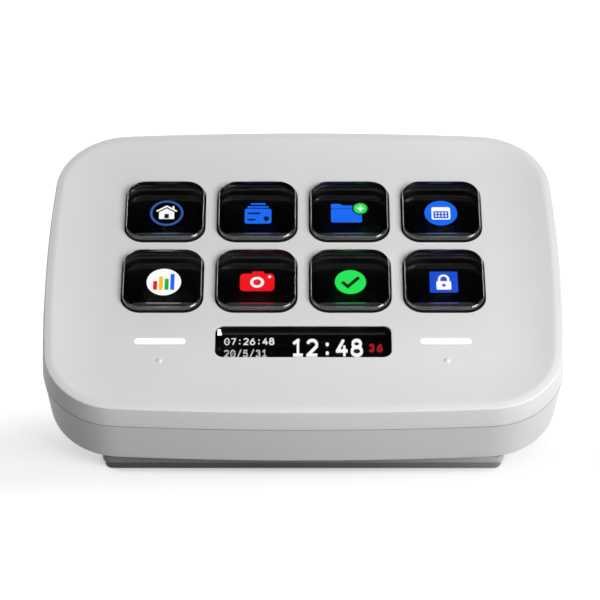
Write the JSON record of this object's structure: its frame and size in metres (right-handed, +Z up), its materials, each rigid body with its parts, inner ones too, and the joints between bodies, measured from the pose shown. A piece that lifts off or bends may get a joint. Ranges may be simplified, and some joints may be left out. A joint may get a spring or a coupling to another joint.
{
  "type": "display keypad",
  "caption": "Desk keypad with clear sprung square keys over one display, a display bar and two touch light bars, in a dished slab on a wedge base.",
  "frame": {"origin": "on the desk under the middle of the object's outline", "axes": "+X to the right of a person at the desk, +Y to the back, +Z up; the keys face +Z, tilted 4 degrees towards the front"},
  "size_m": [0.107, 0.0778, 0.0262],
  "materials": {
    "shell": "light grey moulded plastic with a fine even texture",
    "base": "mid grey moulded plastic, fine texture",
    "foot": "mid grey rubber with a soft matt skin",
    "key_clear": "clear polished moulded plastic",
    "collar": "black, matt",
    "guide": "black, matt",
    "mat": "black silicone",
    "display": "black glass front with lit symbols",
    "backlight": "white reflector and light guide",
    "sheet_steel": "rolled sheet steel",
    "lens": "lightly smoked polished plastic",
    "holder": "black foam and plastic, matt",
    "light_guide": "milky light guide",
    "foil": "amber film",
    "circuit_board": "green solder mask",
    "chip": "black epoxy",
    "port_shell": "drawn stainless steel",
    "port_insert": "black",
    "ribbon": "amber film ribbon",
    "connector": "cream nylon",
    "ballast": "zinc plated steel",
    "screw": "zinc plated steel"
  },
  "bodies": {
    "root": {"top_shell": "shell", "bottom_shell": "shell", "base_shell": "base", "rubber_foot": "foot", "key_guide": "guide", "key_mat": "mat", "display_panel": "display", "backlight_panel": "backlight", "display_tray": "sheet_steel", "chassis_plate": "sheet_steel", "info_lens": "lens", "info_display": "display", "info_holder": "holder", "light_bar_left": "light_guide", "light_bar_right": "light_guide", "touch_foil_left": "foil", "touch_foil_right": "foil", "led_board_left": "circuit_board", "led_board_right": "circuit_board", "main_board": "circuit_board", "board_chips": "chip", "usb_c_port": "port_shell", "usb_c_insert": "port_insert", "display_flex": "ribbon", "info_flex": "ribbon", "flex_connectors": "connector", "ballast_plate": "ballast", "case_screws": "screw", "chassis_screws": "screw", "board_screws": "screw", "base_screws": "screw"},
    "key_1": {"key_cap_1": "key_clear", "key_collar_1": "collar"},
    "key_2": {"key_cap_2": "key_clear", "key_collar_2": "collar"},
    "key_3": {"key_cap_3": "key_clear", "key_collar_3": "collar"},
    "key_4": {"key_cap_4": "key_clear", "key_collar_4": "collar"},
    "key_5": {"key_cap_5": "key_clear", "key_collar_5": "collar"},
    "key_6": {"key_cap_6": "key_clear", "key_collar_6": "collar"},
    "key_7": {"key_cap_7": "key_clear", "key_collar_7": "collar"},
    "key_8": {"key_cap_8": "key_clear", "key_collar_8": "collar"}
  },
  "joints": [
    {"name": "key_1_press", "type": "slide", "parent": "root", "child": "key_1", "axis": [0, -0.0698, 0.9976], "range_m": [-0.0012, 0], "stiffness_N_per_m": 500},
    {"name": "key_2_press", "type": "slide", "parent": "root", "child": "key_2", "axis": [0, -0.0698, 0.9976], "range_m": [-0.0012, 0], "stiffness_N_per_m": 500},
    {"name": "key_3_press", "type": "slide", "parent": "root", "child": "key_3", "axis": [0, -0.0698, 0.9976], "range_m": [-0.0012, 0], "stiffness_N_per_m": 500},
    {"name": "key_4_press", "type": "slide", "parent": "root", "child": "key_4", "axis": [0, -0.0698, 0.9976], "range_m": [-0.0012, 0], "stiffness_N_per_m": 500},
    {"name": "key_5_press", "type": "slide", "parent": "root", "child": "key_5", "axis": [0, -0.0698, 0.9976], "range_m": [-0.0012, 0], "stiffness_N_per_m": 500},
    {"name": "key_6_press", "type": "slide", "parent": "root", "child": "key_6", "axis": [0, -0.0698, 0.9976], "range_m": [-0.0012, 0], "stiffness_N_per_m": 500},
    {"name": "key_7_press", "type": "slide", "parent": "root", "child": "key_7", "axis": [0, -0.0698, 0.9976], "range_m": [-0.0012, 0], "stiffness_N_per_m": 500},
    {"name": "key_8_press", "type": "slide", "parent": "root", "child": "key_8", "axis": [0, -0.0698, 0.9976], "range_m": [-0.0012, 0], "stiffness_N_per_m": 500}
  ]
}
